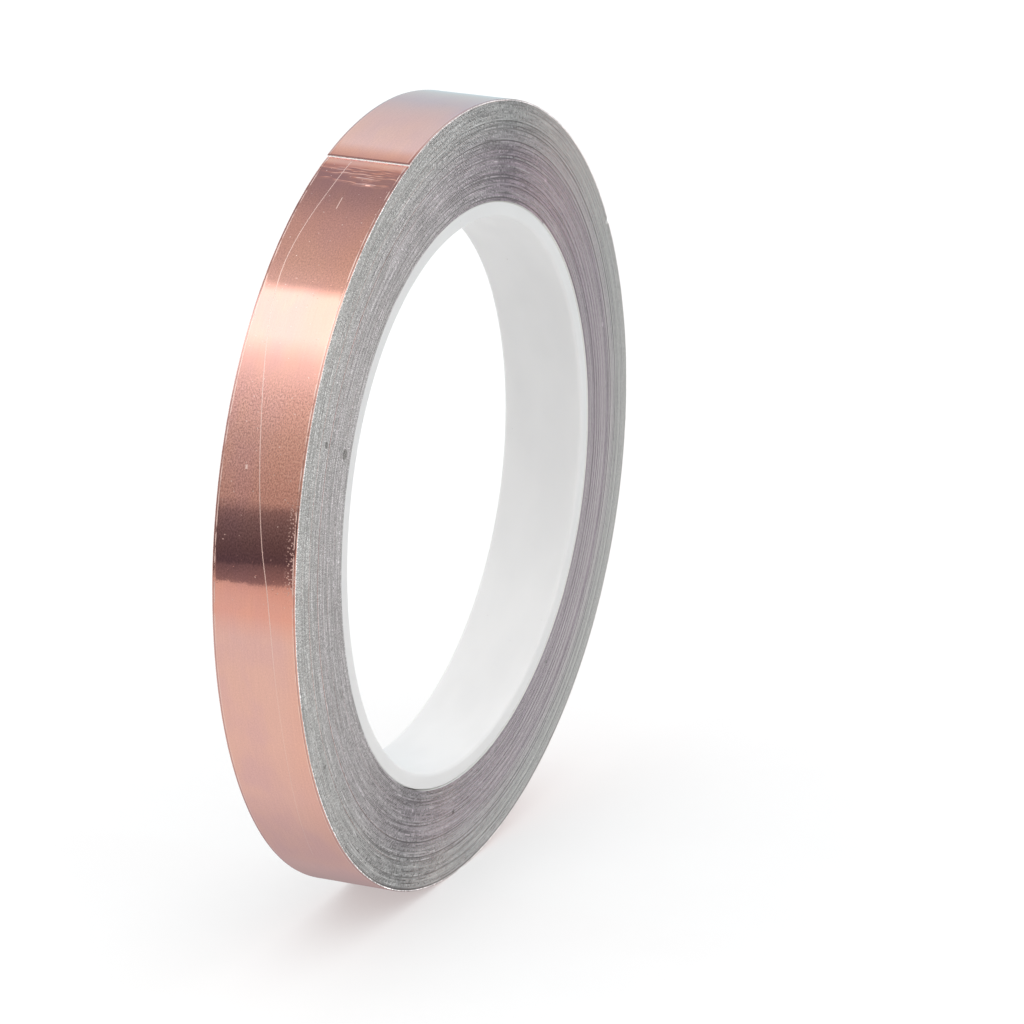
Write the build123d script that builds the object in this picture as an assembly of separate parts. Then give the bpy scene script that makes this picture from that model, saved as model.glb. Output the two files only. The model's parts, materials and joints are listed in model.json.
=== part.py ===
from build123d import *

import math
import os

# Roll of copper foil tape on a plastic core, standing on its rim.
#
# The tape is one laminated strip: copper foil outside, acrylic adhesive under it and a paper release liner
# inside. It is wound round the core as a spiral. Each layer is a closed solid of its own, and the last
# stretch of each layer is a separate tail, so that the end of the tape can be peeled up.
#
# Frame: the origin is the centre of the bore, +Y lies along the bore and +Z points up. Millimetres.
# Angles are in degrees, from +X towards +Z.

# Driving dimensions
TAPE_WIDTH = 12.0
TAPE_LENGTH = 20000.0
FOIL_THICKNESS = 0.050
ADHESIVE_THICKNESS = 0.035
LINER_THICKNESS = 0.118
WRAP_GAP = 0.002  # air between one wrap and the next

CORE_BORE_RADIUS = 38.2
CORE_WALL = 2.1
CORE_BORE_CHAMFER = 0.35
CORE_RIM_CHAMFER = 0.15

FIXING_TAPE_THICKNESS = 0.060
FIXING_TAPE_LENGTH = 20.0

TAIL_END_ANGLE = 109.5  # where the cut end of the tape lies
TAIL_LENGTH = 32.0  # how much of the tape peels up

# Derived dimensions
HALF_TURN = 180.0
TURN = 2 * HALF_TURN
ANGLE_TOLERANCE = 1e-9

CORE_OUTER_RADIUS = CORE_BORE_RADIUS + CORE_WALL
TAPE_THICKNESS = LINER_THICKNESS + ADHESIVE_THICKNESS + FOIL_THICKNESS
PITCH = TAPE_THICKNESS + WRAP_GAP

# Each layer's inner and outer height above the inside of the tape
LINER = (0.0, LINER_THICKNESS)
ADHESIVE = (LINER[1], LINER[1] + ADHESIVE_THICKNESS)
FOIL = (ADHESIVE[1], ADHESIVE[1] + FOIL_THICKNESS)

# The spiral is made of half turns whose centres lie this far to either side of the axis. Each half turn
# is half a pitch larger than the one before it, so neighbouring half turns meet with no kink.
CENTRE_SHIFT = PITCH / 4
START_RADIUS = CORE_OUTER_RADIUS + FIXING_TAPE_THICKNESS + CENTRE_SHIFT

# A strip of length L fills a ring of area L times the pitch
START_MIDDLE = START_RADIUS + TAPE_THICKNESS / 2
END_MIDDLE = math.sqrt(START_MIDDLE**2 + PITCH * TAPE_LENGTH / math.pi)
TURNS = (END_MIDDLE - START_MIDDLE) / PITCH


def spiral_angles():
    """Angles of the tape's inner end, of the root of its tail and of its cut end, counted up all the way."""
    start = (TAIL_END_ANGLE - TURNS * TURN) % TURN
    end = start + TURNS * TURN
    root = end - math.degrees(TAIL_LENGTH / END_MIDDLE)
    return start, root, end


def half_turn_circle(index):
    """Centre along X and inside radius of one half turn of the tape."""
    side = -1 if index % 2 == 0 else 1
    return side * CENTRE_SHIFT, START_RADIUS + index * PITCH / 2


def closed_outline(inside, outside):
    """Face between two runs of arcs, closed by a straight cut at each end."""
    first_cut = Line(inside[0] @ 0, outside[0] @ 0)
    last_cut = Line(inside[-1] @ 1, outside[-1] @ 1)
    return Face(Wire([line.edge() for line in [*inside, *outside, first_cut, last_cut]]))


def across_the_width(outline, width):
    """Solid with this outline in the XZ plane, half of it on each side of the plane."""
    return extrude(Plane.XZ * outline, width / 2, both=True)


def strip(layer, start, end):
    """One layer of the wound tape between two spiral angles."""
    inner_height, outer_height = layer
    inside, outside = [], []
    for index in range(int(start // HALF_TURN), math.ceil((end - ANGLE_TOLERANCE) / HALF_TURN)):
        first = max(start, index * HALF_TURN)
        last = min(end, (index + 1) * HALF_TURN)
        centre, radius = half_turn_circle(index)
        inside.append(CenterArc((centre, 0), radius + inner_height, first, last - first))
        outside.append(CenterArc((centre, 0), radius + outer_height, first, last - first))
    return across_the_width(closed_outline(inside, outside), TAPE_WIDTH)


def core():
    """Plastic tube, with its edges broken inside and outside."""
    tube = across_the_width(Circle(CORE_OUTER_RADIUS) - Circle(CORE_BORE_RADIUS), TAPE_WIDTH)
    bore_edges = tube.edges().filter_by(GeomType.CIRCLE).sort_by(SortBy.RADIUS)[:2]
    tube = chamfer(bore_edges, CORE_BORE_CHAMFER)
    rim_edges = tube.edges().filter_by(GeomType.CIRCLE).sort_by(SortBy.RADIUS)[-2:]
    return chamfer(rim_edges, CORE_RIM_CHAMFER)


def core_fixing_tape(start):
    """Double-sided tape that fills the space between the core and the inner end of the winding."""
    sweep = math.degrees(FIXING_TAPE_LENGTH / CORE_OUTER_RADIUS)
    centre, radius = half_turn_circle(0)
    on_core = CenterArc((0, 0), CORE_OUTER_RADIUS, start, sweep)
    under_tape = CenterArc((centre, 0), radius, start, sweep)
    return across_the_width(closed_outline([on_core], [under_tape]), TAPE_WIDTH - 2 * CORE_RIM_CHAMFER)


def main():
    start, root, end = spiral_angles()
    parts = {
        "core": core(),
        "core_fixing_tape": core_fixing_tape(start),
        "release_liner": strip(LINER, start, root),
        "adhesive_layer": strip(ADHESIVE, start, root),
        "copper_foil": strip(FOIL, start, root),
        "liner_tail": strip(LINER, root, end),
        "adhesive_tail": strip(ADHESIVE, root, end),
        "foil_tail": strip(FOIL, root, end),
    }
    os.makedirs("parts", exist_ok=True)
    for name, part in parts.items():
        part.label = name
        export_step(part, f"parts/{name}.step")


main()
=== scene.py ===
import json
import math

import bpy
import numpy as np
from mathutils import Matrix, Vector


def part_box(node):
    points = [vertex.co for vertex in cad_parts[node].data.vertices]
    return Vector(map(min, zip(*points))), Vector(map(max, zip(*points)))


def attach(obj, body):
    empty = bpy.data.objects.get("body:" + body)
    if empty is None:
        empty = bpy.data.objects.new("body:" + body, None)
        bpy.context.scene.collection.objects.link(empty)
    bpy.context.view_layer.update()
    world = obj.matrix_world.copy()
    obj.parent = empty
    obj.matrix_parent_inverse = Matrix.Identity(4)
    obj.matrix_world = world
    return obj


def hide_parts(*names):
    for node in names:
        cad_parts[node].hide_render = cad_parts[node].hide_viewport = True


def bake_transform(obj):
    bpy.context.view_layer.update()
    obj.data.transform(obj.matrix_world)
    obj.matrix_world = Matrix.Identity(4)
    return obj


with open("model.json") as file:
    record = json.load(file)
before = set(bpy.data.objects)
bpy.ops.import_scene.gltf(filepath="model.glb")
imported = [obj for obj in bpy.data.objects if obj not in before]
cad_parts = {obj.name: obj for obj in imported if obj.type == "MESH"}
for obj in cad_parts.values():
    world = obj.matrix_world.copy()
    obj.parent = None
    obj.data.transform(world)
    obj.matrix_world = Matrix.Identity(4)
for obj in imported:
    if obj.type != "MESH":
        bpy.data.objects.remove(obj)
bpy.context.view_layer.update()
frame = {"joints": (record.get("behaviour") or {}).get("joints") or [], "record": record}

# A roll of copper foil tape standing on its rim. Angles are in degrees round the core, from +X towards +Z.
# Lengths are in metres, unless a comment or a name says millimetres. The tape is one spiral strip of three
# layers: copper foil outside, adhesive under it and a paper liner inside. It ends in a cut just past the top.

MM = 0.001

# ---------------------------------------------------------------- places from the CAD model
record = frame["record"]
joints = {joint["name"]: joint for joint in frame["joints"]}
core_bore = next(mount for mount in record["mounts"] if mount["name"] == "core_bore")

BORE_RADIUS = core_bore["dims"]["r_mm"] * MM
CORE_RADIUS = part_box("core")[1].x
HALF_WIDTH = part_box("core")[1].y
FLOOR_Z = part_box("copper_foil")[0].z
TOP_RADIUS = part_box("foil_tail")[1].z
HINGE = Vector(joints["tail_peel"]["pos_m"])

FOIL = 0.050 * MM
ADHESIVE = 0.035 * MM
LINER = 0.118 * MM
WRAP_GAP = 0.002 * MM
TAPE = FOIL + ADHESIVE + LINER
PITCH = TAPE + WRAP_GAP
TURNS = 67.16

TURN = 360.0
TOP = 90.0
TAIL_END = math.degrees(math.acos(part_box("foil_tail")[0].x / TOP_RADIUS))
TAIL_ROOT = math.degrees(math.atan2(HINGE.z, HINGE.x))
TAPE_START = TAIL_END - TURNS * TURN
SEAM = TAIL_END - TURN  # the place on the outer wrap that lies under the cut end
HALF_MM = HALF_WIDTH / MM
MM_PER_DEGREE = math.radians(1) * TOP_RADIUS / MM

# ---------------------------------------------------------------- camera
CAMERA_AZIMUTH = -65.59
CAMERA_ELEVATION = 18.58
CAMERA_DISTANCE = 0.841
AIM_RIGHT = 0.01146
AIM_UP = -0.00325
LENS_MM = 215.4
SENSOR_MM = 36.0


def make_camera():
    azimuth, elevation = math.radians(CAMERA_AZIMUTH), math.radians(CAMERA_ELEVATION)
    back = Vector((
        math.sin(azimuth) * math.cos(elevation),
        -math.cos(azimuth) * math.cos(elevation),
        math.sin(elevation),
    ))
    right = Vector((0, 0, 1)).cross(back).normalized()
    up = back.cross(right)
    aim = right * AIM_RIGHT + up * AIM_UP
    data = bpy.data.cameras.new("camera")
    data.lens = LENS_MM
    data.sensor_width = SENSOR_MM
    data.clip_start = 0.01
    data.clip_end = 50
    camera = bpy.data.objects.new("camera", data)
    turn = Matrix((right, up, back)).transposed().to_4x4()
    camera.matrix_world = Matrix.Translation(aim + back * CAMERA_DISTANCE) @ turn
    bpy.context.scene.collection.objects.link(camera)
    bpy.context.scene.camera = camera


make_camera()
bpy.context.scene.view_settings.view_transform = "Standard"


# ---------------------------------------------------------------- small tools
def smooth(x, low, high):
    """0 below low, 1 above high, and an even S between them."""
    f = np.clip((np.asarray(x, float) - low) / (high - low), 0, 1)
    return f * f * (3 - 2 * f)


def wander(x, seed, span=4096):
    """Smooth random curve through x, between -1 and 1, with about one swing per unit."""
    lattice = np.random.default_rng(seed).uniform(-1, 1, span)
    x = np.asarray(x, float) + span / 2
    i = np.floor(x).astype(int)
    f = x - i
    f = f * f * (3 - 2 * f)
    return lattice[i % span] * (1 - f) + lattice[(i + 1) % span] * f


def wander2(x, y, seed, size=257):
    """Smooth random surface over x and y, between -1 and 1, with about one swing per unit."""
    lattice = np.random.default_rng(seed).uniform(-1, 1, (size, size))
    i, j = np.floor(x).astype(int), np.floor(y).astype(int)
    f, g = x - i, y - j
    f, g = f * f * (3 - 2 * f), g * g * (3 - 2 * g)
    i, j, k, m = i % size, j % size, (i + 1) % size, (j + 1) % size
    low = lattice[i, j] * (1 - f) + lattice[k, j] * f
    high = lattice[i, m] * (1 - f) + lattice[k, m] * f
    return low * (1 - g) + high * g


def add_object(name, verts, faces, smooth_faces, materials, face_materials=None, marks=None):
    """Mesh object from arrays. marks holds float values for each vertex, which the materials read."""
    mesh = bpy.data.meshes.new(name)
    mesh.vertices.add(len(verts))
    mesh.vertices.foreach_set("co", np.asarray(verts, np.float32).ravel())
    faces = np.asarray(faces, np.int32)
    mesh.loops.add(faces.size)
    mesh.loops.foreach_set("vertex_index", faces.ravel())
    mesh.polygons.add(len(faces))
    mesh.polygons.foreach_set("loop_start", np.arange(0, faces.size, faces.shape[1], dtype=np.int32))
    mesh.update(calc_edges=True)
    for material in materials:
        mesh.materials.append(material)
    if face_materials is not None:
        mesh.polygons.foreach_set("material_index", np.asarray(face_materials, np.int32))
    mesh.polygons.foreach_set("use_smooth", np.asarray(smooth_faces, bool))
    for mark, values in (marks or {}).items():
        attribute = mesh.attributes.new(mark, "FLOAT", "POINT")
        attribute.data.foreach_set("value", np.asarray(values, np.float32).ravel())
    mesh.validate()
    mesh.update()
    piece = bpy.data.objects.new(name, mesh)
    bpy.context.scene.collection.objects.link(piece)
    return piece


# The real roll is a little out of round and out of flat, by up to a millimetre
OVAL = 0.0109
THREE_CORNERED = 0.0089
TWO_WAVES_MM = (-0.02, 0.05)
THREE_WAVES_MM = (0.107, 0.148)


def stood_up(angles, radius, y):
    """Points of the roll, from the angle round it, the radius and the place across it."""
    a = np.radians(angles)
    radius = radius * (1 + OVAL * np.sin(2 * a) + THREE_CORNERED * np.cos(3 * a))
    bowed = 0
    for count, (even, odd) in ((2, TWO_WAVES_MM), (3, THREE_WAVES_MM)):
        bowed = bowed + even * np.cos(count * a) + odd * np.sin(count * a)
    return np.stack([radius * np.cos(a), y + bowed * MM, radius * np.sin(a)], -1)


class Shader:
    """Builds a node material. surface and glow finish it, and the rest give sockets that they can take."""

    def __init__(self, name):
        self.material = bpy.data.materials.new(name)
        self.material.use_nodes = True
        self.tree = self.material.node_tree
        self.tree.nodes.clear()

    def node(self, kind, inputs=None, output=0, **settings):
        node = self.tree.nodes.new("ShaderNode" + kind)
        for key, value in settings.items():
            setattr(node, key, value)
        for key, value in (inputs or {}).items():
            if value is None:
                continue
            if isinstance(value, bpy.types.NodeSocket):
                self.tree.links.new(value, node.inputs[key])
            else:
                node.inputs[key].default_value = value
        return node.outputs[output]

    def mark(self, name):
        return self.node("Attribute", output="Fac", attribute_name=name)

    def math(self, operation, a, b=None, c=None):
        return self.node("Math", {0: a, 1: b, 2: c}, operation=operation)

    def scaled(self, x, y, z=0.0):
        return self.node("CombineXYZ", {0: x, 1: y, 2: z})

    def product(self, first, *others):
        """All the values multiplied together."""
        for other in others:
            first = self.math("MULTIPLY", first, other)
        return first

    def most(self, first, *others):
        """The highest of the values."""
        for other in others:
            first = self.math("MAXIMUM", first, other)
        return first

    def noise(self, vector, scale=1.0, detail=2.0, roughness=0.5):
        inputs = {"Vector": vector, "Scale": scale, "Detail": detail, "Roughness": roughness}
        return self.node("TexNoise", inputs)

    def pattern(self, x, y, x_scale, y_scale, place, detail, roughness=0.5):
        """Noise over two values. The scales are its swings per unit, and each place gives a different one."""
        where = self.scaled(self.product(x, x_scale), self.product(y, y_scale), place)
        return self.noise(where, 1.0, detail, roughness)

    def about(self, value, middle):
        """How far the value is above the middle."""
        return self.math("SUBTRACT", value, middle)

    def distance(self, value, middle):
        return self.math("ABSOLUTE", self.about(value, middle))

    def object_place(self):
        """The place on the object, whole and as x, y and z."""
        where = self.node("TexCoord", output="Object")
        return [where] + [self.node("SeparateXYZ", {0: where}, output=i) for i in range(3)]

    def step(self, value, low, high, out_low=0.0, out_high=1.0):
        """An even S from out_low, where value is low or less, to out_high, where it is high or more."""
        return self.node(
            "MapRange",
            {"Value": value, "From Min": low, "From Max": high, "To Min": out_low, "To Max": out_high},
            interpolation_type="SMOOTHSTEP",
        )

    def mix(self, factor, a, b):
        node = self.tree.nodes.new("ShaderNodeMix")
        node.data_type = "RGBA"
        for socket, value in ((node.inputs[0], factor), (node.inputs[6], a), (node.inputs[7], b)):
            if isinstance(value, bpy.types.NodeSocket):
                self.tree.links.new(value, socket)
            else:
                socket.default_value = value if socket.type != "RGBA" or len(value) == 4 else (*value, 1)
        return node.outputs[2]

    def times(self, colour, light):
        """The colour, brighter or darker by the factor light."""
        result = self.mix(1.0, colour, self.scaled(light, light, light))
        result.node.blend_type = "MULTIPLY"
        return result

    def bump(self, height_mm):
        """Normal of a surface with this height on it."""
        return self.node("Bump", {"Height": height_mm, "Distance": MM, "Strength": 1.0})

    def surface(self, **inputs):
        names = {key.replace("_", " "): value for key, value in inputs.items()}
        shader = self.node("BsdfPrincipled", names, output="BSDF")
        self.node_output(shader)
        return self.material

    def glow(self, colour, strength=1.0):
        self.node_output(self.node("Emission", {"Color": colour, "Strength": strength}))
        return self.material

    def node_output(self, shader):
        out = self.tree.nodes.new("ShaderNodeOutputMaterial")
        self.tree.links.new(shader, out.inputs["Surface"])


# ---------------------------------------------------------------- copper
COPPER = (0.86, 0.475, 0.40, 1)
COPPER_MAUVE = (0.81, 0.45, 0.41, 1)
COPPER_WARM = (0.88, 0.46, 0.365, 1)
# Pale colour of the scratches and grit marks, and of the painted highlight lines on the slit edges
SCUFF_AND_HIGHLIGHT = (0.98, 0.76, 0.70, 1)
SHADED = (0.30, 0.17, 0.17, 1)
SLIT_EDGE = (0.30, 0.19, 0.19, 1)
SLIT_EDGE_DARK = (0.12, 0.09, 0.10, 1)

# Marks on the wrap below the cut end. Each pair is where a change begins and ends, in millimetres down from
# the cut.
GRAIN_STARTS = (4, 8)
POLISH_STARTS = (21, 24)
GRAIN_COARSENS = (32, 40)
POLISH_ENDS = (34, 39)
ROUGH_STARTS = (34, 44)
GRIT_STARTS = (50, 54)
GRAIN_ENDS = (56, 66)
GRIT_ENDS = (63, 66)
WEAR_ENDS = (62, 70)
# where the painted highlight lines on the slit edges fade out
EDGE_HIGHLIGHT_FADES = (66, 74)
SCRATCH_FADES = (62, 78)

# The long scratch: degrees below the top on the cut side, and millimetres across the tape
SCRATCH_PATH = (
    (20, 2.2), (26, 2.6), (32, 3.25), (37, 3.75), (41, 3.95), (45, 3.75), (56, 2.3), (64, 1.1), (72, 0.1),
    (81, -1.0), (90, -2.2), (100, -2.65), (112, -2.65), (126, -1.7), (138, -0.3),
)
SCRATCH_HALF_WIDTH = 0.075
# Short marks, in millimetres: down from the cut end, across the tape, half length and half width
NICKS = ((9.0, 0.27, 1.3, 0.09), (48.3, 2.2, 0.35, 0.22))
# Small round marks, in millimetres: the spacing and the radius, then a number that makes each set different
GRIT_DOTS = (0.45, 0.14, 1.0)
SPARSE_DOTS = (1.5, 0.13, 5.0)
PIT_DOTS = (1.0, 0.12, 9.0)
PIT_DEPTH = 0.004


def scratch(s, below, across):
    """1 on the long curved scratch, 0 off it. below is the distance down from the cut end."""
    reached = [(angle + TOP - TAIL_END) * MM_PER_DEGREE for angle, _ in SCRATCH_PATH]
    first, last = reached[0], reached[-1]
    share = s.step(below, first, last)
    share.node.interpolation_type = "LINEAR"
    curve = s.tree.nodes.new("ShaderNodeFloatCurve")
    s.tree.links.new(share, curve.inputs["Value"])
    points = curve.mapping.curves[0].points
    while len(points) < len(SCRATCH_PATH):
        points.new(0.5, 0.5)
    for point, down, (_, place) in zip(points, reached, SCRATCH_PATH):
        point.location = ((down - first) / (last - first), (place + HALF_MM) / (2 * HALF_MM))
    curve.mapping.update()
    path = s.math("MULTIPLY_ADD", curve.outputs[0], 2 * HALF_MM, -HALF_MM)
    line = s.step(s.distance(across, path), SCRATCH_HALF_WIDTH * 0.5, SCRATCH_HALF_WIDTH, 1.0, 0.0)
    begins = s.step(below, first - 0.3, first + 0.3)
    fades = s.step(below, *(first + reach for reach in SCRATCH_FADES), 1.0, 0.2)
    ends = s.step(below, last - 2, last, 1.0, 0.0)
    return s.product(line, ends, begins, fades)


def nick(s, below, across, down, place, length, width):
    """1 on a short straight mark along the tape, 0 off it."""
    beside = s.step(s.distance(across, place), width * 0.5, width, 1.0, 0.0)
    beyond = s.step(s.distance(below, down), length * 0.7, length, 1.0, 0.0)
    return s.product(beside, beyond)


def dots(s, along, across, spacing, radius, seed):
    """1 on small round marks about spacing apart, 0 off them."""
    where = s.scaled(s.math("DIVIDE", along, spacing), s.math("MULTIPLY_ADD", across, 1 / spacing, seed))
    settings = {"voronoi_dimensions": "2D", "feature": "F1"}
    away = s.node("TexVoronoi", {"Vector": where, "Scale": 1.0}, "Distance", **settings)
    return s.step(away, 0.5 * radius / spacing, radius / spacing, 1.0, 0.0)


def edge_highlight_lines(s, below, along, across, inset):
    """Painted highlight lines on the rolled edge and on the low ridge inside it, broken in places."""
    ridge = s.product(s.step(inset, 0.22, 0.27), s.step(inset, 0.38, 0.44, 1.0, 0.0))
    lines = s.most(ridge, s.step(inset, 0.06, 0.11, 0.7, 0.0))
    near_cut = s.step(along, 17, 20, 0.4, 1.0)
    low_down = s.step(below, *EDGE_HIGHLIGHT_FADES, 1.0, 0.4)
    broken = s.noise(s.scaled(s.product(along, 0.5), across, 31.0), 1.0, 3)
    return s.product(lines, s.product(near_cut, low_down), s.step(broken, 0.35, 0.60, 0.1, 1.0))


def copper_face():
    """Bright rolled copper, with the scratches, grit marks and pits of the wrap below the cut end, painted
    highlight lines on the slit edges and painted shade in the edge groove and at the cut end.
    """
    s = Shader("copper_bright")
    along, across = s.mark("along"), s.mark("across")
    below = s.about(TURN * MM_PER_DEGREE, along)
    inset = s.about(HALF_MM, s.math("ABSOLUTE", across))

    patches = s.pattern(along, across, 0.12, 0.22, 3.0, detail=3)
    drift = s.pattern(along, across, 0.03, 0.08, 9.0, detail=1)
    grain = s.pattern(along, across, 3.5, 4.8, 0.0, detail=3, roughness=0.7)
    coarse = s.pattern(along, across, 0.8, 1.3, 7.0, detail=2)
    rolled = s.pattern(along, across, 0.18, 3.5, 5.0, detail=2)

    colour = s.mix(s.step(patches, 0.35, 0.65), COPPER, COPPER_MAUVE)
    colour = s.mix(s.step(drift, 0.45, 0.75, 0.0, 0.8), colour, COPPER_WARM)
    grainy = s.product(s.step(below, *GRAIN_STARTS, 0.12, 1.0), s.step(below, *GRAIN_ENDS, 1.0, 0.1))
    grainy = s.product(grainy, s.step(below, *GRAIN_COARSENS, 1.0, 2.3))
    polished = s.product(s.step(below, *POLISH_STARTS), s.step(below, *POLISH_ENDS, 1.0, 0.0))
    grainy = s.product(grainy, s.math("MULTIPLY_ADD", polished, -0.85, 1.0))
    light = s.math("MULTIPLY_ADD", s.about(grain, 0.5), grainy, 1.0)
    light = s.math("MULTIPLY_ADD", s.about(rolled, 0.5), 0.08, light)
    colour = s.times(colour, light)

    gritty = s.product(s.step(below, *GRIT_STARTS), s.step(below, *GRIT_ENDS, 1.0, 0.0))
    grit_zone = s.product(s.step(across, -5.2, -4.0, 1.0, 0.0), gritty)
    scattered = s.step(s.noise(s.scaled(along, across, 21.0), 0.8, 1), 0.54, 0.62)
    worn_zone = s.product(s.step(below, 0, 3), s.step(below, *WEAR_ENDS, 1.0, 0.1))
    sparse_zone = s.product(scattered, worn_zone)
    marks = s.most(
        s.product(dots(s, along, across, *GRIT_DOTS), grit_zone),
        s.product(dots(s, along, across, *SPARSE_DOTS), sparse_zone),
    )
    scratched = s.most(scratch(s, below, across), *(nick(s, below, across, *place) for place in NICKS))
    # Scratches, nicks and grit dots are real marks; the edge lines among them are painted highlights
    scuffs_and_edge_highlights = s.most(scratched, s.most(s.product(marks, 0.8), edge_highlight_lines(s, below, along, across, inset)))
    colour = s.mix(s.product(scuffs_and_edge_highlights, 0.8), colour, SCUFF_AND_HIGHLIGHT)
    # Painted shade: a dark line in the groove beside each slit edge, and a dark strip at the tail's cut end
    groove = s.product(s.step(inset, 0.08, 0.13), s.step(inset, 0.19, 0.25, 0.6, 0.0))
    cut_end_shade = s.step(along, 0.10, 0.24, 0.7, 0.0)
    colour = s.mix(s.most(groove, cut_end_shade), colour, SHADED)
    roughness = s.math("MULTIPLY_ADD", scuffs_and_edge_highlights, 0.45, s.math("MULTIPLY_ADD", grain, 0.04, 0.03))

    uneven = s.product(s.step(below, *ROUGH_STARTS, 0.0012, 0.0045), s.step(below, *WEAR_ENDS, 1.0, 0.3))
    pit_zone = s.most(s.step(across, -5.6, -4.9, 1.0, 0.0), s.product(sparse_zone, 0.6))
    pits = s.product(dots(s, along, across, *PIT_DOTS), pit_zone)
    height = s.math("MULTIPLY_ADD", grain, 0.0010, s.product(rolled, 0.0004))
    height = s.math("MULTIPLY_ADD", coarse, uneven, height)
    height = s.math("MULTIPLY_ADD", pits, -PIT_DEPTH, height)
    return s.surface(Base_Color=colour, Metallic=1.0, Roughness=roughness, Normal=s.bump(height))


def copper_edge():
    """The slit edge of the foil, dull and a little dirty."""
    s = Shader("copper_slit_edge")
    grit = s.noise(s.scaled(s.product(s.mark("along"), 2.2), s.mark("wrap")), 1.0, 3)
    colour = s.mix(s.step(grit, 0.35, 0.7), SLIT_EDGE, SLIT_EDGE_DARK)
    return s.surface(Base_Color=colour, Metallic=0.3, Roughness=0.5, Normal=s.bump(s.product(grit, 0.01)))


# ---------------------------------------------------------------- cut edges of the wound tape
# Dirt and chips on the wound side: degrees below the top on the cut side, radius and size in mm, brightness
SPECKS = (
    (66.0, 42.3, 0.95, 0.01), (65.5, 48.4, 0.60, 0.02), (-61.0, 54.0, 0.60, 2.2), (-34.0, 45.9, 0.42, 2.0),
    (-76.0, 47.0, 0.45, 1.8), (156.0, 43.3, 0.40, 2.2), (118.0, 51.0, 0.36, 0.2), (174.0, 45.0, 0.50, 0.25),
    (101.0, 44.0, 0.40, 0.3), (-142.0, 42.5, 0.36, 0.2),
)
LINER_EDGE = ((0.305, 0.31, 0.307), (0.265, 0.215, 0.258))
LINER_FRESH_EDGE = (0.90, 0.85, 0.85)
ADHESIVE_EDGE = ((0.195, 0.198, 0.195), (0.18, 0.145, 0.172))
FOIL_EDGE = ((0.24, 0.236, 0.236), (0.22, 0.175, 0.207))
FAR_SIDE = (-0.035, 0.045)
NEAR_BOTTOM = (-0.045, 0.0)
MAUVE_WRAPS = (12, 40)
DARKER_WRAPS = (10, 50)


def mauve_share(s, along, wrap, right):
    """How mauve the edge is: more towards the core and patchy, as the edges' own tint, and more on the far
    side, as painted pinkish light.
    """
    patch = s.pattern(along, wrap, 0.02, 0.12, 2.0, detail=2)
    # The far side term is painted pinkish light
    share = s.product(s.step(wrap, *MAUVE_WRAPS), s.math("MULTIPLY_ADD", right, 0.65, 0.40))
    return s.product(share, s.step(patch, 0.25, 0.6, 0.5, 1.15))


def edge_light(s, along, wrap, right, z):
    """Brightness of the edge, from fine specks, short streaks and wide bands, with painted shade on the wraps
    that sit back and painted glints.
    """
    streaks = s.pattern(along, wrap, 0.11, 0.95, 4.0, detail=2, roughness=0.7)
    specks = s.pattern(along, wrap, 6.0, 2.3, 8.0, detail=0, roughness=0.7)
    bands = s.pattern(along, wrap, 0.004, 0.42, 6.0, detail=2)
    contrast = s.product(s.math("MULTIPLY_ADD", right, -1.45, 1.75), s.step(z, *NEAR_BOTTOM, 0.62, 1.0))
    rough_part = s.math("MULTIPLY_ADD", s.about(streaks, 0.5), 2.8, s.product(s.about(specks, 0.5), 3.0))
    light = s.math("MULTIPLY_ADD", rough_part, contrast, s.step(wrap, *DARKER_WRAPS, 0.97, 0.88))
    light = s.math("ADD", light, s.product(s.about(bands, 0.5), s.step(right, 0.2, 0.7, 1.15, 0.4)))
    # Painted shade: the wraps that sit back are darkened, broken into dashes
    dashes = s.pattern(along, wrap, 0.035, 0.7, 11.0, detail=3)
    recess_shade_line = s.product(s.mark("dip"), s.step(dashes, 0.35, 0.5, 0.25, 1.0))
    light = s.product(light, s.step(recess_shade_line, 0.1, 0.9, 1.0, 0.32))
    glints = s.math("GREATER_THAN", specks, 0.80)
    return s.math("MULTIPLY_ADD", glints, 0.5, s.most(light, 0.35))


def speck_light(s, where):
    """1 off the specks. On one, its brightness."""
    light = 1.0
    for angle, radius, size, brightness in SPECKS:
        spot = stood_up(TOP + angle, radius * MM, -HALF_WIDTH)
        away = s.node("VectorMath", {0: where, 1: tuple(spot)}, output="Value", operation="DISTANCE")
        light = s.product(light, s.step(away, 0.7 * size * MM, 0.8 * size * MM, brightness, 1.0))
    return light


def cut_edge(name, colours, fresh=None, **settings):
    """Cut edge of one wound layer, in grey and mauve. fresh is the colour of its last, cleaner wrap."""
    s = Shader(name)
    along, wrap = s.mark("along"), s.mark("wrap")
    where, x, _, z = s.object_place()
    right = s.step(x, *FAR_SIDE)
    grey, mauve = ((*colour, 1) for colour in colours)
    colour = s.mix(mauve_share(s, along, wrap, right), grey, mauve)
    if fresh:
        colour = s.mix(s.step(wrap, 0.985, 1.0, 1.0, 0.0), colour, (*fresh, 1))
    spots = speck_light(s, where)
    light = s.product(edge_light(s, along, wrap, right, z), spots)
    gloss = s.product(s.math("MINIMUM", spots, 1.0), 0.5)
    normal = s.bump(s.product(light, 0.012))
    return s.surface(Base_Color=s.times(colour, light), Normal=normal, Specular_IOR_Level=gloss, **settings)


# ---------------------------------------------------------------- paper, adhesive and plastic
PAPER = ((0.86, 0.85, 0.82, 1), (0.78, 0.77, 0.745, 1))
GLUE = ((0.50, 0.36, 0.30, 1), (0.42, 0.31, 0.27, 1))
WHITE_PLASTIC = ((0.71, 0.708, 0.706, 1), (0.68, 0.679, 0.678, 1))
DUST = (0.35, 0.34, 0.33, 1)
CLEAR_TAPE = ((0.74, 0.73, 0.66, 1), (0.62, 0.61, 0.55, 1))


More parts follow.
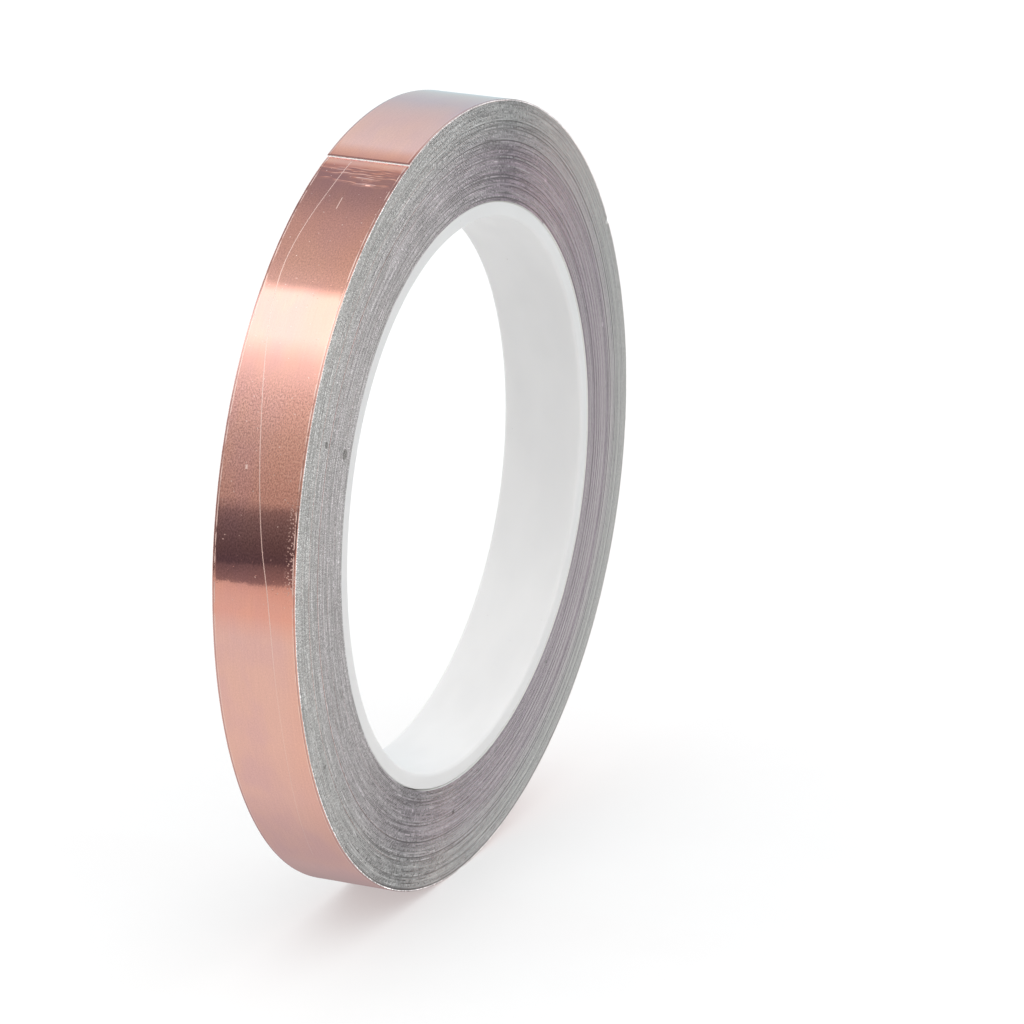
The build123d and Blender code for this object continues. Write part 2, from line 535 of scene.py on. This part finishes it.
def liner_face():
    """Silicone coated paper with a faint sheen."""
    s = Shader("liner_paper")
    fibre = s.pattern(s.mark("along"), s.mark("across"), 1.6, 3.0, 0.0, detail=4, roughness=0.6)
    colour = s.mix(s.step(fibre, 0.3, 0.7), *PAPER)
    normal = s.bump(s.product(fibre, 0.004))
    return s.surface(Base_Color=colour, Roughness=0.45, Normal=normal, Coat_Weight=0.25, Coat_Roughness=0.2)


def adhesive_face():
    """Clear sticky film, with the copper showing through."""
    s = Shader("adhesive_film")
    ripple = s.pattern(s.mark("along"), s.mark("across"), 0.5, 2.0, 0.0, detail=3)
    colour = s.mix(s.step(ripple, 0.3, 0.7), *GLUE)
    normal = s.bump(s.product(ripple, 0.006))
    return s.surface(Base_Color=colour, Roughness=0.22, Normal=normal, Coat_Weight=0.6, Coat_Roughness=0.12)


def core_plastic():
    """White, slightly translucent moulded plastic with faint lines round the bore."""
    s = Shader("core_plastic")
    where, x, y, z = s.object_place()
    angle = s.math("ARCTAN2", z, x)
    lines = s.pattern(angle, y, 1.5, 1500.0, 1.0, detail=3)
    cloud = s.pattern(angle, y, 3.0, 160.0, 6.0, detail=2)
    dust = s.step(s.noise(where, 900.0, 1), 0.80, 0.84)
    colour = s.mix(s.step(cloud, 0.3, 0.7), *WHITE_PLASTIC)
    colour = s.mix(s.product(dust, 0.6), colour, DUST)
    return s.surface(
        Base_Color=colour,
        Roughness=s.math("MULTIPLY_ADD", cloud, 0.12, 0.34),
        Normal=s.bump(s.product(lines, 0.0035)),
        Subsurface_Weight=0.35,
        Subsurface_Radius=(1.0, 0.95, 0.9),
        Subsurface_Scale=1.6 * MM,
        IOR=1.40,
        Specular_IOR_Level=0.3,
    )


def fixing_tape():
    """Clear double-sided tape, a little yellow."""
    s = Shader("fixing_tape_film")
    mottle = s.noise(s.object_place()[0], 700.0, 2)
    colour = s.mix(mottle, *CLEAR_TAPE)
    return s.surface(Base_Color=colour, Roughness=0.35, Normal=s.bump(s.product(mottle, 0.01)))


# ---------------------------------------------------------------- the wound tape
def outer_radius(angle):
    """Radius of the copper face of the spiral. The angle counts down through all the turns."""
    return TOP_RADIUS + PITCH * (angle - TOP) / TURN


def wrap_of(angle):
    """0 at the cut end, 1 a full turn further in, and so on."""
    return (TAIL_END - angle) / TURN


FIRST_DIP = 1.6
DIP_DEPTH = 0.02


def hump(x, middle, reach):
    """1 at the middle, dying away over the reach on each side."""
    return np.exp(-(((x - middle) / reach) ** 2))


def wrap_dip(wrap):
    """About every third wrap sits back from its neighbours for most of a turn: 1 there, 0 elsewhere."""
    rng = np.random.default_rng(11)
    dip = np.zeros_like(wrap)
    middle = FIRST_DIP
    while middle < TURNS:
        reach = rng.uniform(0.25, 0.5)
        depth = rng.uniform(0.5, 1.0)
        dip = np.maximum(dip, depth * hump(wrap, middle, reach))
        middle += rng.uniform(1.8, 4.6)
    return dip


def side_offset(angle, side):
    """How far the tape's edge stands out of the flat side of the roll. Wraps wander a little as they wind.

    The terms are in millimetres. side is 0 on the near side and 1 on the far side.
    """
    wrap = wrap_of(angle)
    along = wrap * TURN * MM_PER_DEGREE
    loose = 0.022 * wander(wrap / 4.5, 21 + side) + 0.016 * wander(wrap * 1.4, 23 + side)
    ragged = 0.006 * wander(along / 5.0, 25 + side)
    return (loose + ragged - DIP_DEPTH * wrap_dip(wrap)) * MM


def ribbon(name, angles, outer, inner, y, face_material, edge_material):
    """Closed strip from radii and places across, on a grid of rows along the tape by columns across it."""
    angles = np.broadcast_to(angles if angles.ndim == 2 else angles[:, None], outer.shape)
    verts = np.concatenate([stood_up(angles, radius, y).reshape(-1, 3) for radius in (outer, inner)])
    top = np.arange(outer.size).reshape(outer.shape)
    under = top + outer.size

    def quads(*corners):
        return np.stack([corner.ravel() for corner in corners], -1)

    faces = [
        quads(top[:-1, :-1], top[:-1, 1:], top[1:, 1:], top[1:, :-1]),
        quads(under[:-1, :-1], under[1:, :-1], under[1:, 1:], under[:-1, 1:]),
        quads(top[:-1, 0], top[1:, 0], under[1:, 0], under[:-1, 0]),
        quads(top[:-1, -1], under[:-1, -1], under[1:, -1], top[1:, -1]),
        quads(top[0, :-1], under[0, :-1], under[0, 1:], top[0, 1:]),
        quads(top[-1, :-1], top[-1, 1:], under[-1, 1:], under[-1, :-1]),
    ]
    is_face = np.repeat([True, True, False, False, False, False], [len(group) for group in faces])
    wrap = wrap_of(angles)
    values = {
        "along": wrap * TURN * MM_PER_DEGREE,
        "across": y / MM,
        "wrap": wrap,
        "dip": np.broadcast_to(wrap_dip(wrap[:, :1]), wrap.shape),
    }
    marks = {mark: np.tile(value.ravel(), 2) for mark, value in values.items()}
    materials = [face_material, edge_material]
    return add_object(name, verts, np.concatenate(faces), is_face, materials, ~is_face, marks)


DENT_DEPTH = 0.065


def dent(angles):
    """How far the cut end presses into the wrap under it, in millimetres."""
    below = (angles - SEAM) * MM_PER_DEGREE
    return DENT_DEPTH * smooth(below, -1.6, -0.2) * (1 - smooth(below, -0.1, 1.9))


def pressed_end(angles):
    """How far the last of the tail bends down to touch the wrap under it, in millimetres."""
    along = (TAIL_END - angles) * MM_PER_DEGREE
    return DENT_DEPTH * (1 - smooth(along, -0.15, 0.26))


def side_places(angles, recess):
    """Near and far edge of a layer that is set back from the side by recess."""
    return np.stack([
        -HALF_WIDTH - side_offset(angles, 0) + recess,
        HALF_WIDTH + side_offset(angles, 1) - recess,
    ], -1)


def wound_layer(name, angles, high, low, recess, materials):
    """One layer with plain faces, from high to low under the copper face."""
    radius = outer_radius(angles) - (dent(angles) + pressed_end(angles)) * MM
    outer, inner = ((radius - depth)[:, None] * np.ones((1, 2)) for depth in (high, low))
    return ribbon(name, angles, outer, inner, side_places(angles, recess), *materials)


# Places across the tape, as millimetres from its edge: close together where the slit edge is rolled over
EDGE_STEPS = (0.0, 0.03, 0.06, 0.09, 0.12, 0.16, 0.20, 0.24, 0.29, 0.34, 0.40, 0.48, 0.60, 0.78)
INNER_STEPS = 30


def across_places():
    edge = np.array(EDGE_STEPS)
    middle = np.linspace(-HALF_MM + edge[-1], HALF_MM - edge[-1], INNER_STEPS)
    return np.concatenate([-HALF_MM + edge[:-1], middle, HALF_MM - edge[:-1][::-1]]) * MM


# Waves of the foil, in millimetres: height, length along, length across, a shift and a seed
WAVES = ((0.010, 9.0, 5.5, 40, 31), (0.0035, 3.1, 2.4, 40, 32), (0.0008, 1.1, 0.8, 80, 33))
# The slit edge, in millimetres: the height of each form, and the ridge's and groove's distance in and reach
ROLL_DEPTH = 0.034
ROLL_REACH = 0.17
RIDGE_HEIGHT = 0.011
RIDGE = (0.33, 0.09)
GROOVE_DEPTH = 0.005
GROOVE = (0.19, 0.05)


def wave_height(along, across):
    """The foil is not quite flat: long shallow waves, in millimetres."""
    return sum(
        height * wander2(along / length, across / width + shift, seed)
        for height, length, width, shift, seed in WAVES
    )


def edge_height(across, along):
    """The slitting knife rolls both edges over and leaves a groove and a low ridge, in millimetres."""
    inset = HALF_MM - np.abs(across)
    uneven = 1 + 0.25 * wander(along / 2.6, 41)
    rolled = -ROLL_DEPTH * (1 - smooth(inset, 0, ROLL_REACH)) * uneven
    return rolled + RIDGE_HEIGHT * hump(inset, *RIDGE) * uneven - GROOVE_DEPTH * hump(inset, *GROOVE)


CREASES = np.linspace(2.0, 5.2, 13)  # millimetres below the cut end
CREASE_HALF_WIDTH = 0.14
CRUMPLE_HEIGHT = 0.018


def crease_height(below, across):
    """Short wavering creases just below the cut end, and a fine crumple among them, in millimetres."""
    height = np.zeros(np.broadcast_shapes(below.shape, across.shape))
    rng = np.random.default_rng(52)
    for down in CREASES:
        lean = rng.uniform(-0.09, 0.10)
        middle = rng.uniform(-5.0, 3.0)
        reach = rng.uniform(1.2, 3.2)
        line = down + lean * (across - middle) + 0.20 * wander(across / 1.2 + 10 * down, 53)
        strength = hump(across, middle, reach) * (1 + 0.6 * wander(across * 1.6 + down, 54))
        height = height + rng.uniform(0.014, 0.040) * strength * hump(below, line, CREASE_HALF_WIDTH)
    zone = smooth(below, 1.2, 2.6) * (1 - smooth(below, 4.6, 6.4)) * smooth(-across, -2.5, 1.0)
    return height + CRUMPLE_HEIGHT * wander2(below * 3.2 + across * 0.4, across * 1.6 + 60, 55) * zone


CUT_ROUNDING = 0.02  # millimetres that the foil drops at its cut end
THINNEST = 0.4  # of the foil's thickness, where a crease or wave presses it
EDGE_GRIP = 9  # how closely the edge's wander is kept to the edge


def foil_sheet(name, angles):
    """The copper that shows, with its waves, its rolled edges and the creases below the cut end."""
    places = across_places()
    across = places[None, :] / MM
    along = (TAIL_END - angles)[:, None] * MM_PER_DEGREE
    below = (angles - SEAM)[:, None] * MM_PER_DEGREE
    level = outer_radius(angles)[:, None] - (dent(angles) + pressed_end(angles))[:, None] * MM
    height = wave_height(along, across) + edge_height(across, along) + crease_height(below, across)
    height = height - CUT_ROUNDING * (1 - smooth(along, 0.0, 0.16))
    outer = level + height * MM
    inner = np.minimum(outer - THINNEST * FOIL, level - FOIL)
    share = places / HALF_WIDTH
    near, far = side_offset(angles, 0)[:, None], side_offset(angles, 1)[:, None]
    y = places + np.where(share < 0, near, far) * share ** EDGE_GRIP
    return ribbon(name, angles, outer, inner, y, copper, slit_edge)


def liner_tail(name, angles):
    """The paper sticks out a little past the foil, and its cut is ragged."""
    places = np.linspace(-1, 1, 81) * HALF_WIDTH
    across = places[None, :] / MM
    ragged = 0.05 * wander(across * 2.2 + 30, 61) + 0.04 * wander(across / 2.5, 62)
    last = smooth(angles, TAIL_END - 0.3, TAIL_END)[:, None]
    near, far = side_offset(angles, 0)[:, None], side_offset(angles, 1)[:, None]
    share = places / HALF_WIDTH
    y = places + (np.where(share < 0, near, far) + LINER_PROUD) * share
    radius = (outer_radius(angles) - pressed_end(angles) * MM)[:, None] + 0 * y
    turned = angles[:, None] + ragged / MM_PER_DEGREE * last
    return ribbon(name, turned, radius - FOIL - ADHESIVE, radius - TAPE, y, paper, paper_edge)


def spaced(*stops):
    """Angles from the first stop to the last. Each stop is an angle and the step from there to the next."""
    parts = [
        np.linspace(start, end, max(2, int(round((end - start) / step)) + 1))[:-1]
        for (start, step), (end, _) in zip(stops, stops[1:])
    ]
    return np.concatenate([*parts, [stops[-1][0]]])


copper = copper_face()
slit_edge = copper_edge()
paper = liner_face()
paper_edge = cut_edge("liner_cut_edge", LINER_EDGE, LINER_FRESH_EDGE, Roughness=0.85)
glue = adhesive_face()
glue_edge = cut_edge("adhesive_cut_edge", ADHESIVE_EDGE, Roughness=0.6)
wound_edge = cut_edge("wound_foil_edge", FOIL_EDGE, Roughness=0.5)

# Steps along the tape, in degrees: fine at the cut end, the seam and the tail's root, and coarse elsewhere
WOUND_STEP = 2.0
DENT_STEP = 0.1
SHEET_STEP = 0.5
TAIL_STEP = 0.35
FINE_STEP = 0.05
CUT_STEP = 0.03
ADHESIVE_RECESS = 0.035 * MM
LINER_PROUD = 0.02 * MM
GLUE_SHORT = 0.06  # degrees by which the adhesive stops short of the cut end
PAPER_LONG = 0.11  # degrees by which the liner sticks out past it
OUTER_START = TAIL_ROOT - TURN  # from here on the wrap is the outermost one

foil_angles = spaced((TAPE_START, WOUND_STEP), (OUTER_START, WOUND_STEP))
wound_angles = spaced(
    (TAPE_START, WOUND_STEP), (SEAM - 2, DENT_STEP), (SEAM + 3, WOUND_STEP), (TAIL_ROOT, WOUND_STEP)
)
outer_angles = spaced(
    (OUTER_START, SHEET_STEP), (SEAM - 0.5, FINE_STEP), (SEAM + 7.5, SHEET_STEP),
    (TAIL_ROOT - 0.5, FINE_STEP), (TAIL_ROOT, FINE_STEP),
)
tail_angles = spaced(
    (TAIL_ROOT, FINE_STEP), (TAIL_ROOT + 0.5, TAIL_STEP), (TAIL_END - 0.3, CUT_STEP), (TAIL_END, CUT_STEP)
)
near_cut = smooth(tail_angles, TAIL_END - 1, TAIL_END)
glue_depths = (FOIL, FOIL + ADHESIVE, ADHESIVE_RECESS, (glue, glue_edge))
liner_depths = (FOIL + ADHESIVE, TAPE, -LINER_PROUD, (paper, paper_edge))

wound_foil = wound_layer("wound_foil", foil_angles, 0, FOIL, 0, (copper, wound_edge))
wound_adhesive = wound_layer("wound_adhesive", wound_angles, *glue_depths)
wound_liner = wound_layer("wound_liner", wound_angles, *liner_depths)
outer_wrap = foil_sheet("outer_wrap_foil", outer_angles)
tail_foil = foil_sheet("tail_foil", tail_angles)
tail_adhesive = wound_layer("tail_adhesive", tail_angles - GLUE_SHORT * near_cut, *glue_depths)
tail_liner = liner_tail("tail_liner", tail_angles + PAPER_LONG * near_cut)

# ---------------------------------------------------------------- the core
CORE_SEGMENTS = 360
FIXING_STEPS = 21
FIXING_THICKNESS = 0.060 * MM
EDGE_CLEARANCE = 0.01  # share of its width
BORE_ROUND = 0.45 * MM
RIM_ROUND = 0.15 * MM
ROUND_STEPS = 6


def core_profile():
    """Closed outline of the tube's wall as (radius, y), with rounded edges."""
    points = []
    quarter = math.pi / 2
    corners = (
        (BORE_RADIUS, -HALF_WIDTH, 1, 1, BORE_ROUND),
        (CORE_RADIUS, -HALF_WIDTH, -1, 1, RIM_ROUND),
        (CORE_RADIUS, HALF_WIDTH, -1, -1, RIM_ROUND),
        (BORE_RADIUS, HALF_WIDTH, 1, -1, BORE_ROUND),
    )
    for index, (radius, y, inward, up, rounding) in enumerate(corners):
        for step in range(ROUND_STEPS + 1):
            a = math.pi + index * quarter + step / ROUND_STEPS * quarter
            points.append((radius + rounding * (inward + math.cos(a)), y + rounding * (up + math.sin(a))))
    return points


def make_core():
    """The tube, swept round from its outline."""
    profile = core_profile()
    count = len(profile)
    turns = np.linspace(0, TURN, CORE_SEGMENTS, endpoint=False)[:, None] * np.ones((1, count))
    radius, y = (np.array([point[i] for point in profile])[None, :] for i in (0, 1))
    verts = stood_up(turns, radius, y + 0 * turns).reshape(-1, 3)
    grid = np.arange(CORE_SEGMENTS * count).reshape(CORE_SEGMENTS, count)
    ahead, beside = np.roll(grid, -1, 0), np.roll(grid, -1, 1)
    both = np.roll(ahead, -1, 1)
    faces = np.stack([grid.ravel(), beside.ravel(), both.ravel(), ahead.ravel()], -1)
    return add_object("core_tube", verts, faces, np.ones(len(faces), bool), [core_plastic()])


def fixing_patch():
    """Strip of clear tape that holds the first turn to the core. Its box gives the angles of its ends."""
    low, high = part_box("core_fixing_tape")
    ends = sorted(math.degrees(math.atan2(z, x)) for x in (low.x, high.x) for z in (low.z, high.z))
    angles = np.linspace(ends[1], ends[2], FIXING_STEPS)
    outer = np.full((len(angles), 2), CORE_RADIUS + FIXING_THICKNESS)
    edges = np.array([[low.y, high.y]]) * (1 - EDGE_CLEARANCE) * np.ones((len(angles), 1))
    film = fixing_tape()
    return ribbon("core_fixing_film", angles, outer, outer - FIXING_THICKNESS, edges, film, film)


core_tube = make_core()

# ---------------------------------------------------------------- the roll's pieces ride on the roll body, and the tail's pieces are baked in place
fixing = fixing_patch()
for piece, node, slot in (
    (core_tube, "core", "core_plastic"),
    (fixing, "core_fixing_tape", "fixing_tape"),
    (wound_foil, "copper_foil", "copper"),
    (outer_wrap, "copper_foil", "copper"),
    (wound_adhesive, "adhesive_layer", "adhesive"),
    (wound_liner, "release_liner", "liner_paper"),
):
    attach(piece, "roll")
    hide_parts(node)
for piece, node, slot, body in (
    (tail_foil, "foil_tail", "copper", "tape_tail"),
    (tail_adhesive, "adhesive_tail", "adhesive", "tape_tail"),
    (tail_liner, "liner_tail", "liner_paper", "liner_tail"),
):
    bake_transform(piece)
    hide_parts(node)

# ---------------------------------------------------------------- floor, backdrop and light
WHITE = (1, 1, 1, 1)
SQUARE = ((-1, -1), (1, -1), (1, 1), (-1, 1))
DOME_RADIUS = 1.2
DOME_LENGTH = 3.2
DOME_START = -2.8  # degrees, so that it comes down to the floor
DOME_STEPS = 94
# Brightness of the studio overhead that the copper mirrors, by the angle round the roll's axis
STUDIO = (
    (0, (0.62, 0.78, 0.83)), (15, (0.59, 0.79, 0.93)), (33, (0.73, 0.90, 1.02)), (44, (0.82, 1.0, 1.06)),
    (51, (0.88, 1.06, 1.12)), (55, (0.79, 0.80, 0.76)), (60, (0.59, 0.50, 0.47)), (66, (0.36, 0.35, 0.39)),
    (76, (0.42, 0.41, 0.43)), (86, (0.56, 0.54, 0.54)), (101, (0.67, 0.66, 0.62)),
    (108.5, (0.80, 0.80, 0.78)), (112, (1.8, 1.8, 1.76)), (125, (1.8, 1.8, 1.76)),
    (132, (1.25, 1.25, 1.22)), (142, (0.86, 0.84, 0.82)),
    (153, (0.62, 0.60, 0.57)), (168, (0.50, 0.45, 0.42)), (180, (0.50, 0.46, 0.44)),
)
# Brightness of the card that stands on the floor at the cut side, by height where y is CARD_MIDDLE. Its bands
# slope down towards +Y.
CARD_SLOPE = 0.58
CARD_MIDDLE = 0.112
DARK_CARD = (
    (FLOOR_Z, (0.70, 0.60, 0.55)), (-0.0500, (0.66, 0.56, 0.52)), (-0.0487, (0.30, 0.25, 0.26)),
    (-0.036, (0.24, 0.20, 0.215)), (-0.0245, (0.18, 0.155, 0.175)), (-0.0215, (0.105, 0.092, 0.115)),
    (0.0, (0.125, 0.11, 0.125)), (0.030, (0.185, 0.17, 0.185)), (0.046, (0.25, 0.225, 0.235)),
    (0.054, (0.40, 0.36, 0.35)),
)
# Brightness of the floor that the copper mirrors, by place along X. It glows darker near the roll, a painted
# shadow of the roll.
NEAR_FLOOR = (
    (-0.300, (0.70, 0.60, 0.55)), (-0.262, (0.78, 0.67, 0.61)), (-0.220, (0.81, 0.72, 0.66)),
    (-0.188, (0.85, 0.75, 0.68)), (-0.145, (0.84, 0.90, 0.88)), (-0.070, (0.85, 0.90, 0.87)),
    (-0.050, (0.78, 0.83, 0.83)), (-0.037, (0.62, 0.65, 0.67)), (-0.026, (0.54, 0.52, 0.54)),
    (-0.017, (0.40, 0.32, 0.32)), (-0.010, (0.36, 0.26, 0.27)),
)


def light_ramp(s, value, stops):
    """Glowing colour that follows value through the stops."""
    low, high = stops[0][0], stops[-1][0]
    share = s.node("MapRange", {"Value": value, "From Min": low, "From Max": high})
    ramp = s.tree.nodes.new("ShaderNodeValToRGB")
    s.tree.links.new(share, ramp.inputs[0])
    elements = ramp.color_ramp.elements
    while len(elements) < len(stops):
        elements.new(1.0)
    for element, (place, colour) in zip(elements, stops):
        element.position = (place - low) / (high - low)
        element.color = (*colour, 1)
    return s.glow(ramp.outputs[0])


def mirrored_only(name, verts, faces, material):
    """Studio surface that shows up in the glossy parts and nowhere else."""
    panel = add_object(name, verts, faces, np.ones(len(faces), bool), [material])
    panel.visible_camera = False
    panel.visible_diffuse = False
    panel.visible_shadow = False
    panel.visible_transmission = False


def make_dome():
    """Half tube of soft light over the roll."""
    s = Shader("studio_dome_light")
    _, x, _, z = s.object_place()
    turn = s.product(s.math("ARCTAN2", z, x), 180 / math.pi)
    angles = np.radians(np.linspace(DOME_START, 180, DOME_STEPS))[:, None] * np.ones((1, 2))
    ends = np.array([[-DOME_LENGTH / 2, DOME_LENGTH / 2]]) + 0 * angles
    verts = np.stack([DOME_RADIUS * np.cos(angles), ends, DOME_RADIUS * np.sin(angles)], -1).reshape(-1, 3)
    grid = np.arange(len(verts)).reshape(-1, 2)
    faces = np.stack([grid[:-1, 0], grid[:-1, 1], grid[1:, 1], grid[1:, 0]], -1)
    mirrored_only("studio_dome", verts, faces, light_ramp(s, turn, STUDIO))


CARD_X = NEAR_FLOOR[0][0]
CARD_ENDS = (-0.05, 0.50)
FAR_FLOOR_X = (0.15, DOME_RADIUS)
FAR_FLOOR_ENDS = (-0.2, 1.2)
SHEET_LIFT = 0.0003


def make_card():
    """Dark card standing at the cut side."""
    s = Shader("dark_card_light")
    _, _, y, z = s.object_place()
    level = s.math("MULTIPLY_ADD", s.about(y, CARD_MIDDLE), CARD_SLOPE, z)
    near, far = CARD_ENDS
    low, high = DARK_CARD[0][0], DARK_CARD[-1][0]
    corners = [(CARD_X, near, low), (CARD_X, far, low), (CARD_X, far, high), (CARD_X, near, high)]
    mirrored_only("dark_card", corners, [(0, 1, 2, 3)], light_ramp(s, level, DARK_CARD))


def floor_sheet(name, left, right, near, far, material):
    """Glowing sheet just over the floor, for what the copper mirrors low down."""
    height = FLOOR_Z + SHEET_LIFT
    corners = [(left, near, height), (right, near, height), (right, far, height), (left, far, height)]
    mirrored_only(name, corners, [(0, 1, 2, 3)], material)


def make_floor_sheets():
    """The floor between the card and the roll, with a painted shadow of the roll in its glow, and the bright
    floor on the far side.
    """
    s = Shader("near_floor_light")
    shade = light_ramp(s, s.object_place()[1], NEAR_FLOOR)
    floor_sheet("near_floor", NEAR_FLOOR[0][0], NEAR_FLOOR[-1][0], *CARD_ENDS, shade)
    bright = Shader("far_floor_light").glow((*STUDIO[0][1], 1))
    floor_sheet("far_floor", *FAR_FLOOR_X, *FAR_FLOOR_ENDS, bright)


FLOOR_HALF = 6.0
FLOOR_GLOW = 0.41


def make_floor():
    """Plain pale paper."""
    s = Shader("floor_paper")
    tooth = s.noise(s.object_place()[0], 60.0, 3)
    colour = s.mix(tooth, (0.46, 0.46, 0.46, 1), (0.44, 0.44, 0.44, 1))
    s.surface(Base_Color=colour, Roughness=0.9, Emission_Color=WHITE, Emission_Strength=FLOOR_GLOW)
    corners = [(x * FLOOR_HALF, y * FLOOR_HALF, FLOOR_Z) for x, y in SQUARE]
    add_object("floor", corners, [(0, 1, 2, 3)], [False], [s.material])


SKY_LOW = 0.40
SKY_HIGH = 1.6
SKY_TOP = 0.8  # share of the way up at which the sky is brightest


def make_world():
    """Soft light all round, brighter from above."""
    world = bpy.data.worlds.new("studio")
    world.use_nodes = True
    nodes, links = world.node_tree.nodes, world.node_tree.links
    where = nodes.new("ShaderNodeTexCoord")
    split = nodes.new("ShaderNodeSeparateXYZ")
    links.new(where.outputs["Generated"], split.inputs[0])
    rise = nodes.new("ShaderNodeMapRange")
    links.new(split.outputs[2], rise.inputs["Value"])
    for key, value in (("From Min", 0.0), ("From Max", SKY_TOP), ("To Min", SKY_LOW), ("To Max", SKY_HIGH)):
        rise.inputs[key].default_value = value
    background = nodes["Background"]
    background.inputs["Color"].default_value = WHITE
    links.new(rise.outputs[0], background.inputs["Strength"])
    bpy.context.scene.world = world


make_world()
make_floor()
make_dome()
make_card()
make_floor_sheets()

# A soft white panel on the side that shows lights the wound edges and the core
PANEL_CENTRE = Vector((-0.55, -0.80, 0.08))
PANEL_HALF = 0.45
PANEL_LIGHT = 0.75


def make_front_panel():
    normal = PANEL_CENTRE.normalized()
    side = normal.cross(Vector((0, 0, 1))).normalized() * PANEL_HALF
    rise = side.cross(normal).normalized() * PANEL_HALF
    corners = [PANEL_CENTRE + a * side + b * rise for a, b in SQUARE]
    light = Shader("front_panel_light").glow(WHITE, PANEL_LIGHT)
    panel = add_object("front_panel", corners, [(0, 1, 2, 3)], [True], [light])
    panel.visible_camera = False
    panel.visible_shadow = False


make_front_panel()
